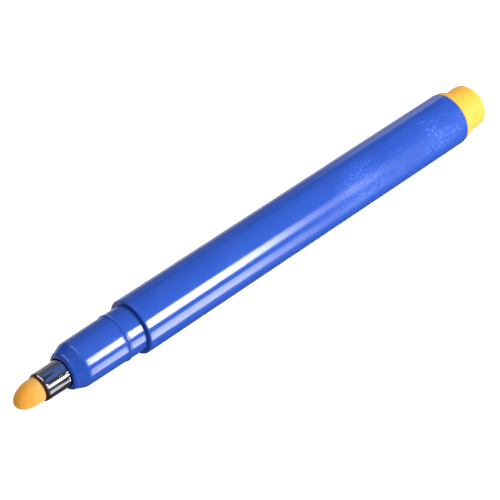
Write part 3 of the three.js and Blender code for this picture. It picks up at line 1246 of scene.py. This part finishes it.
@dataclass
class Reservoir:
    """The ink reservoir: a fibre rod with a socket for the nib, in a film sleeve.

    Attributes:
        socket_radius: Radius of the nib's socket.
        socket_spare: Room left round the nib's rear end.
        nib_taper: Length of the nib's taper.
        nib_rear_radius: Radius of the nib's rear end.
        film_inside: Inner radius of the film.
        strand_count: How many fibre strands go round.
        strand_length: How long a strand runs before its height changes.
        strand_height: Height of the fibre strands.
        crease_count: How many creases go round the film.
        crease_length: How long a crease runs before its height changes.
        crease_height: Height of the film's creases.
        core_segments: How many strips go round the fibre rod.
        film_segments: How many strips go round the film.
        core_seat: Where the fibre rod sits.
        film_seat: Where the film sits.
        nib_seat: Where the nib sits.
    """

    socket_radius: float = 2.85 * MM
    socket_spare: float = 0.15 * MM
    nib_taper: float = 1.4 * MM
    nib_rear_radius: float = 1.4 * MM
    film_inside: float = 4.85 * MM
    strand_count: int = 80
    strand_length: float = 2.5 * MM
    strand_height: float = 0.02 * MM
    crease_count: int = 20
    crease_length: float = 5.0 * MM
    crease_height: float = 0.012 * MM
    core_segments: int = 240
    film_segments: int = 160
    core_seat: Seat = field(default_factory=lambda: Seat.of("reservoir_core"))
    film_seat: Seat = field(default_factory=lambda: Seat.of("reservoir_film"))
    nib_seat: Seat = field(default_factory=lambda: Seat.of("nib"))

    def core_outline(self) -> np.ndarray:
        """The fibre rod's half section, from the socket's floor out and round to the rear."""
        seat = self.core_seat
        floor = self.nib_seat.rear + self.socket_spare
        line = Outline(floor, 0.0)
        line.line(floor, self.nib_rear_radius + self.socket_spare, steps=4)
        line.line(self.nib_seat.rear - self.nib_taper, self.socket_radius, steps=4)
        line.line(seat.front, self.socket_radius, steps=4)
        line.line(seat.front, seat.radius, steps=6)
        line.line(seat.rear, seat.radius, steps=80)
        line.line(seat.rear, 0.0, steps=10)
        return line.points()

    def build_core(self) -> bpy.types.Object:
        """Make the fibre rod, with strands that fade out towards its poles."""
        turned = Turned(self.core_outline(), self.core_seat.axis_height, self.core_segments)
        stations, angles = turned.outline[:, 0], turned.angles()
        pattern = strands(stations, angles, self.strand_count, self.strand_length, seed=23)
        height = self.strand_height * smooth_step(turned.outline[:, 1], 0.0, 2.0 * MM)
        mesh = turned.mesh("reservoir_fibre_rod", (pattern - 1.0) * height[:, None])
        return finished_piece(mesh, CrimpedFibre("core_fibre"), "reservoir_core", "pen_body")

    def build_film(self) -> bpy.types.Object:
        """Make the film sleeve, both its walls following the same shallow creases."""
        seat = self.film_seat
        line = Outline(seat.front, self.film_inside)
        line.line(seat.front, seat.radius)
        line.line(seat.rear, seat.radius, steps=80)
        line.line(seat.rear, self.film_inside)
        line.line(seat.front, self.film_inside, steps=80)
        turned = Turned(line.points()[:-1], seat.axis_height, self.film_segments)
        stations, angles = turned.outline[:, 0], turned.angles()
        creases = strands(stations, angles, self.crease_count, self.crease_length, seed=31)
        mesh = turned.mesh("reservoir_film_sleeve", creases * self.crease_height)
        return finished_piece(mesh, ClearFilm("core_film"), "reservoir_film", "pen_body")


@dataclass
class EndPlug:
    """The yellow plug: hollow ribbed spigot, thin flange and posting knob.

    Attributes:
        flange: Radius of the flange.
        flange_thickness: Its thickness.
        flange_round: Radius of its edges.
        knob: Radius of the posting knob.
        knob_round_length: How far the knob's rounded rear edge reaches along it.
        knob_round_depth: How far that edge reaches towards the axis.
        edge: Radius of the small inner edges.
        root_round: Radius of the inside corner between knob and flange.
        spigot: Radius of the spigot.
        spigot_lead: Length of the spigot's lead-in.
        mouth: Radius of the cavity's mouth.
        cavity: Radius of the cavity's floor.
        end_wall: Thickness behind the cavity.
        dish: Radius of the gate dish.
        dish_depth: Its depth.
        gate: Radius of the gate's stub in the dish.
        gate_height: Height of that stub.
        rib_count: How many crush ribs go round.
        rib_width: Width of a rib.
        rib_height: Height of a rib.
        rib_length: Length of a rib.
        rib_setback: Distance from a rib's rear end to the flange.
        rib_lead: Length of a rib's front slope.
        rib_tail: Length of its rear slope.
        rib_edge: Width of its sloping side, as an angle.
        rim_gap: Gap between the flange and the barrel's rim.
        segments: How many strips go round the axis.
        seat: Where the plug sits.
        barrel: Where the barrel sits.
    """

    flange: float = 6.25 * MM
    flange_thickness: float = 1.4 * MM
    flange_round: float = 0.25 * MM
    knob: float = 5.33 * MM
    knob_round_length: float = 1.7 * MM
    knob_round_depth: float = 1.3 * MM
    edge: float = 0.15 * MM
    root_round: float = 0.15 * MM
    spigot: float = 4.95 * MM
    spigot_lead: float = 0.4 * MM
    mouth: float = 3.9 * MM
    cavity: float = 3.6 * MM
    end_wall: float = 1.4 * MM
    dish: float = 1.2 * MM
    dish_depth: float = 0.2 * MM
    gate: float = 0.45 * MM
    gate_height: float = 0.12 * MM
    rib_count: int = 6
    rib_width: float = 0.8 * MM
    rib_height: float = 0.18 * MM
    rib_length: float = 8.0 * MM
    rib_setback: float = 1.0 * MM
    rib_lead: float = 0.8 * MM
    rib_tail: float = 0.4 * MM
    rib_edge: float = 0.03
    rim_gap: float = 0.05 * MM
    segments: int = 288
    seat: Seat = field(default_factory=lambda: Seat.of("end_plug"))
    barrel: Seat = field(default_factory=lambda: Seat.of("barrel"))

    def outline(self) -> np.ndarray:
        """The plug's half section, from the cavity's floor out and round to the knob's end."""
        seat, edge, lip = self.seat, self.edge, self.flange_round
        flange_front = self.barrel.rear + self.rim_gap
        flange_rear = flange_front + self.flange_thickness
        floor = seat.rear - self.end_wall
        dish_floor = seat.rear - self.dish_depth
        line = Outline(floor, 0.0)
        line.line(floor, self.cavity - edge, steps=6)
        line.round(floor - edge, self.cavity, Leaving.OUTWARDS, steps=4)
        line.line(seat.front, self.mouth, steps=12)
        line.line(seat.front, self.spigot - self.spigot_lead, steps=3)
        line.line(seat.front + self.spigot_lead, self.spigot, steps=3)
        line.line(flange_front, self.spigot, steps=40)
        line.line(flange_front, self.flange - lip, steps=3)
        line.round(flange_front + lip, self.flange, Leaving.OUTWARDS, steps=6)
        line.line(flange_rear - lip, self.flange, steps=2)
        line.round(flange_rear, self.flange - lip, Leaving.ALONG, steps=6)
        line.line(flange_rear, self.knob + self.root_round, steps=3)
        line.round(flange_rear + self.root_round, self.knob, Leaving.OUTWARDS, steps=5)
        line.line(seat.rear - self.knob_round_length, self.knob, steps=16)
        line.round(seat.rear, self.knob - self.knob_round_depth, Leaving.ALONG, steps=16)
        line.line(seat.rear, self.dish + edge, steps=8)
        line.round(seat.rear - edge, self.dish, Leaving.OUTWARDS, steps=4)
        line.line(dish_floor, self.dish - edge, steps=2)
        line.line(dish_floor, self.gate, steps=3)
        line.line(dish_floor + self.gate_height, self.gate * 0.9, steps=2)
        line.line(dish_floor + self.gate_height, 0.0, steps=3)
        return line.points()

    def ripple(self, outline: np.ndarray, angles: np.ndarray) -> np.ndarray:
        """Crush ribs: bars that stand on the spigot's outside, sloped at both ends."""
        rib_rear = self.barrel.rear + self.rim_gap - self.rib_setback
        rib_front = rib_rear - self.rib_length
        station, radius = outline[:, 0], outline[:, 1]
        length = smooth_step(station, rib_front, rib_front + self.rib_lead)
        length = length * (1.0 - smooth_step(station, rib_rear - self.rib_tail, rib_rear))
        outside = np.abs(radius - self.spigot) < SAME_RADIUS
        half = self.rib_width / 2 / self.spigot
        bars = bars_round(angles, self.rib_count, half, self.rib_edge)
        return (self.rib_height * length * outside)[:, None] * bars[None, :]

    def build(self) -> bpy.types.Object:
        """Make the plug."""
        turned = Turned(self.outline(), self.seat.axis_height, self.segments)
        mesh = turned.mesh("end_plug_cap", self.ripple(turned.outline, turned.angles()))
        return finished_piece(mesh, SatinYellow("plug_yellow"), "end_plug", "end_plug")


# ---------------------------------------------------------------- studio


@dataclass(frozen=True)
class Softbox:
    """A plain rectangular light.

    Attributes:
        name: Name of the light.
        place: Where its middle is.
        size: Its width and height.
        radiance: How bright its face is.
        aim: The point that it faces.
        colour: Colour of its light.
        mirrored: Whether glossy surfaces mirror it.
    """

    name: str
    place: tuple[float, float, float]
    size: tuple[float, float]
    radiance: float
    aim: tuple[float, float, float]
    colour: tuple[float, float, float] = (1.0, 1.0, 1.0)
    mirrored: bool = True

    def build(self) -> bpy.types.Object:
        """Make the light. Its power is its radiance times pi times its area."""
        light = bpy.data.lights.new(self.name, "AREA")
        light.shape = "RECTANGLE"
        light.size, light.size_y = self.size
        light.color = self.colour
        light.energy = self.radiance * math.pi * self.size[0] * self.size[1]
        lamp = bpy.data.objects.new(self.name, light)
        lamp.location = self.place
        heading = Vector(self.aim) - Vector(self.place)
        lamp.rotation_euler = heading.to_track_quat("-Z", "Y").to_euler()
        lamp.visible_glossy = self.mirrored
        bpy.context.scene.collection.objects.link(lamp)
        return lamp


@dataclass
class Studio:
    """Floor, lights and camera.

    Attributes:
        azimuth: The camera's place round the pen, in degrees.
        elevation: Its height above the horizon, in degrees.
        distance: Its distance from the point that it looks at.
        lens: Focal length in Blender's units for a 36 mm sensor.
        aim_station: Where along the pen it looks.
        aim_shift: How far beside and above the pen's axis it looks.
        floor_half: Half the floor's side.
        box_distance: Distance of the light boxes from the pen's axis.
        key_rise: Angles of the key boxes' lower and upper edges above the horizon.
        key_radiance: How bright the key is towards the nib.
        low_rise: Angles of the boxes below it, which stand for the floor's reflection of them.
        low_radiance: How bright those boxes are towards the nib.
        room_colour: Colour of the room round the studio.
        room_strength: How bright that room is.
        aim_height: Height that the boxes behind and in front face.
        axis_height: Height of the pen's axis above the floor.
    """

    azimuth: float = -44.0
    elevation: float = 43.0
    distance: float = 505.07 * MM
    lens: float = 165.6
    aim_station: float = -2.705 * MM
    aim_shift: tuple[float, float] = (-0.139 * MM, -0.107 * MM)
    floor_half: float = 1.5
    box_distance: float = 0.3875
    key_rise: tuple[float, float] = (11.2, 38.8)
    key_radiance: float = 33.0
    low_rise: tuple[float, float] = (-42.4, -10.0)
    low_radiance: float = 9.5
    room_colour: tuple[float, float, float] = (0.8, 0.86, 1.0)
    room_strength: float = 0.08
    aim_height: float = 6.5 * MM
    axis_height: float = field(default_factory=lambda: Seat.of("barrel").axis_height)

    def side_box(self, name: str, span: tuple[float, float], rise_deg: tuple[float, float],
                 radiance: float) -> Softbox:
        """A light box that hangs along the pen and faces its axis.

        Args:
            name: Name of the light.
            span: Its first and last place along X.
            rise_deg: Angles of its lower and upper edges above the horizon, seen from the axis.
            radiance: How bright its face is.

        Returns:
            The light, not built yet.
        """
        low, high = (math.radians(angle) for angle in rise_deg)
        middle, half = (low + high) / 2, (high - low) / 2
        x = (span[0] + span[1]) / 2
        y = -self.box_distance * math.cos(middle)
        z = self.axis_height + self.box_distance * math.sin(middle)
        height = 2 * self.box_distance * math.tan(half)
        return Softbox(name, (x, y, z), (span[1] - span[0], height), radiance, (x, 0.0, self.axis_height))

    def key_boxes(self) -> list[Softbox]:
        """The key and the boxes under it, in steps that dim towards the plug."""
        return [
            self.side_box("key_box", (0.1245, 0.218), self.key_rise, self.key_radiance),
            self.side_box("key_box_half", (0.218, 0.236), self.key_rise, 15.0),
            self.side_box("key_box_quarter", (0.236, 0.256), self.key_rise, 3.0),
            self.side_box("low_box", (0.1265, 0.1975), self.low_rise, self.low_radiance),
            self.side_box("low_box_half", (0.1975, 0.226), self.low_rise, 8.5),
            self.side_box("low_box_quarter", (0.226, 0.255), self.low_rise, 2.5),
        ]

    def nib_end_boxes(self) -> list[Softbox]:
        """The ends of both rows: narrowed, then dim, so that the plated sleeve isn't washed out."""
        return [
            self.side_box("key_box_front", (0.1225, 0.1245), (14.0, 36.0), self.key_radiance),
            self.side_box("key_box_tip", (0.1212, 0.1225), (17.0, 33.0), self.key_radiance),
            self.side_box("key_box_end", (0.089, 0.1205), (3.0, 26.0), 1.9),
            self.side_box("low_box_front", (0.1235, 0.1265), (-38.0, -14.0), self.low_radiance),
            self.side_box("low_box_tip", (0.1212, 0.1235), (-34.0, -18.0), self.low_radiance),
            self.side_box("low_box_end", (0.089, 0.1205), (-48.0, -18.0), 0.9),
        ]

    def room_boxes(self) -> list[Softbox]:
        """A strip and a blue card overhead, a dim box by the plug, and pale surfaces behind the pen."""
        level = self.aim_height
        return [
            self.side_box("top_strip", (-0.03, 0.05), (78.0, 140.0), 3.0),
            Softbox("blue_card", (0.30, 0.0, 0.56), (0.22, 0.9), 0.35, (0.30, 0.0, 0.0), (0.1, 0.28, 1.0)),
            self.side_box("rear_box", (0.256, 0.335), (-54.0, 32.0), 1.0),
            Softbox("back_box", (0.3, 0.82, -0.02), (3.0, 1.6), 0.65, (0.3, 0.82, 0.5)),
            Softbox("back_strip", (0.40, 0.60, 0.67), (0.24, 0.12), 0.2, (0.40, 0.0, level)),
            Softbox("back_wall", (0.50, 0.85, 0.30), (0.60, 0.36), 0.22, (0.50, 0.0, level)),
            Softbox("back_wall_rear", (0.75, 0.85, 0.25), (0.26, 0.40), 1.0, (0.75, 0.0, level)),
        ]

    def fill_boxes(self) -> list[Softbox]:
        """Wide boxes overhead and in front that light the pen without being mirrored in it."""
        middle = (0.0, 0.0, self.aim_height)
        return [
            Softbox("top_box", (0.12, 0.0, 0.6), (0.8, 0.8), 3.3, (0.12, 0.0, 0.0), mirrored=False),
            Softbox("front_box", (0.24, -0.63, 0.41), (1.0, 0.6), 5.1, middle, mirrored=False),
        ]

    def add_floor(self) -> None:
        """A flat square under the pen."""
        side = np.array([-1.0, 1.0]) * self.floor_half
        x, y = np.meshgrid(side, side)
        corners = np.stack([x.ravel(), y.ravel(), np.zeros(4)], axis=1)
        mesh = bpy.data.meshes.new("studio_floor")
        mesh.from_pydata(corners.tolist(), [], [(0, 1, 3, 2)])
        mesh.materials.append(PaleFloor("floor_pale").material())
        floor = bpy.data.objects.new("studio_floor", mesh)
        bpy.context.scene.collection.objects.link(floor)
        floor.visible_glossy = False

    def add_lights(self) -> None:
        """Hang every light box, in a dim room."""
        for box in self.key_boxes() + self.nib_end_boxes() + self.room_boxes() + self.fill_boxes():
            box.build()
        world = bpy.data.worlds.new("dim_room")
        world.use_nodes = True
        background = world.node_tree.nodes["Background"]
        background.inputs["Color"].default_value = (*self.room_colour, 1.0)
        background.inputs["Strength"].default_value = self.room_strength
        bpy.context.scene.world = world

    def add_camera(self) -> None:
        """Look at the aim point from the azimuth, elevation and distance."""
        turn, rise = math.radians(self.azimuth), math.radians(self.elevation)
        back = Vector(
            (math.sin(turn) * math.cos(rise), -math.cos(turn) * math.cos(rise), math.sin(rise))
        )
        beside, above = self.aim_shift
        aim = Vector((self.aim_station, beside, self.axis_height + above))
        lens = bpy.data.cameras.new("studio_camera")
        lens.lens = self.lens
        lens.sensor_width = 36.0
        lens.clip_start, lens.clip_end = 0.01, 10.0
        camera = bpy.data.objects.new("studio_camera", lens)
        camera.location = aim + back * self.distance
        camera.rotation_euler = (-back).to_track_quat("-Z", "Y").to_euler()
        bpy.context.scene.collection.objects.link(camera)
        bpy.context.scene.camera = camera

    def build(self) -> None:
        """Set up the whole studio, with colours shown as they are."""
        self.add_camera()
        self.add_floor()
        self.add_lights()
        bpy.context.scene.view_settings.view_transform = "Standard"


def main() -> None:
    """Build the studio and every piece of the pen."""
    logging.basicConfig(level=logging.INFO, format="%(message)s")
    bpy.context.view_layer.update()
    Studio().build()
    BarrelTube().build()
    FrontSection().build()
    NibFerrule().build()
    BulletNib().build()
    NibHolder().build()
    reservoir = Reservoir()
    reservoir.build_core()
    reservoir.build_film()
    EndPlug().build()


if __name__ == "__main__":
    main()
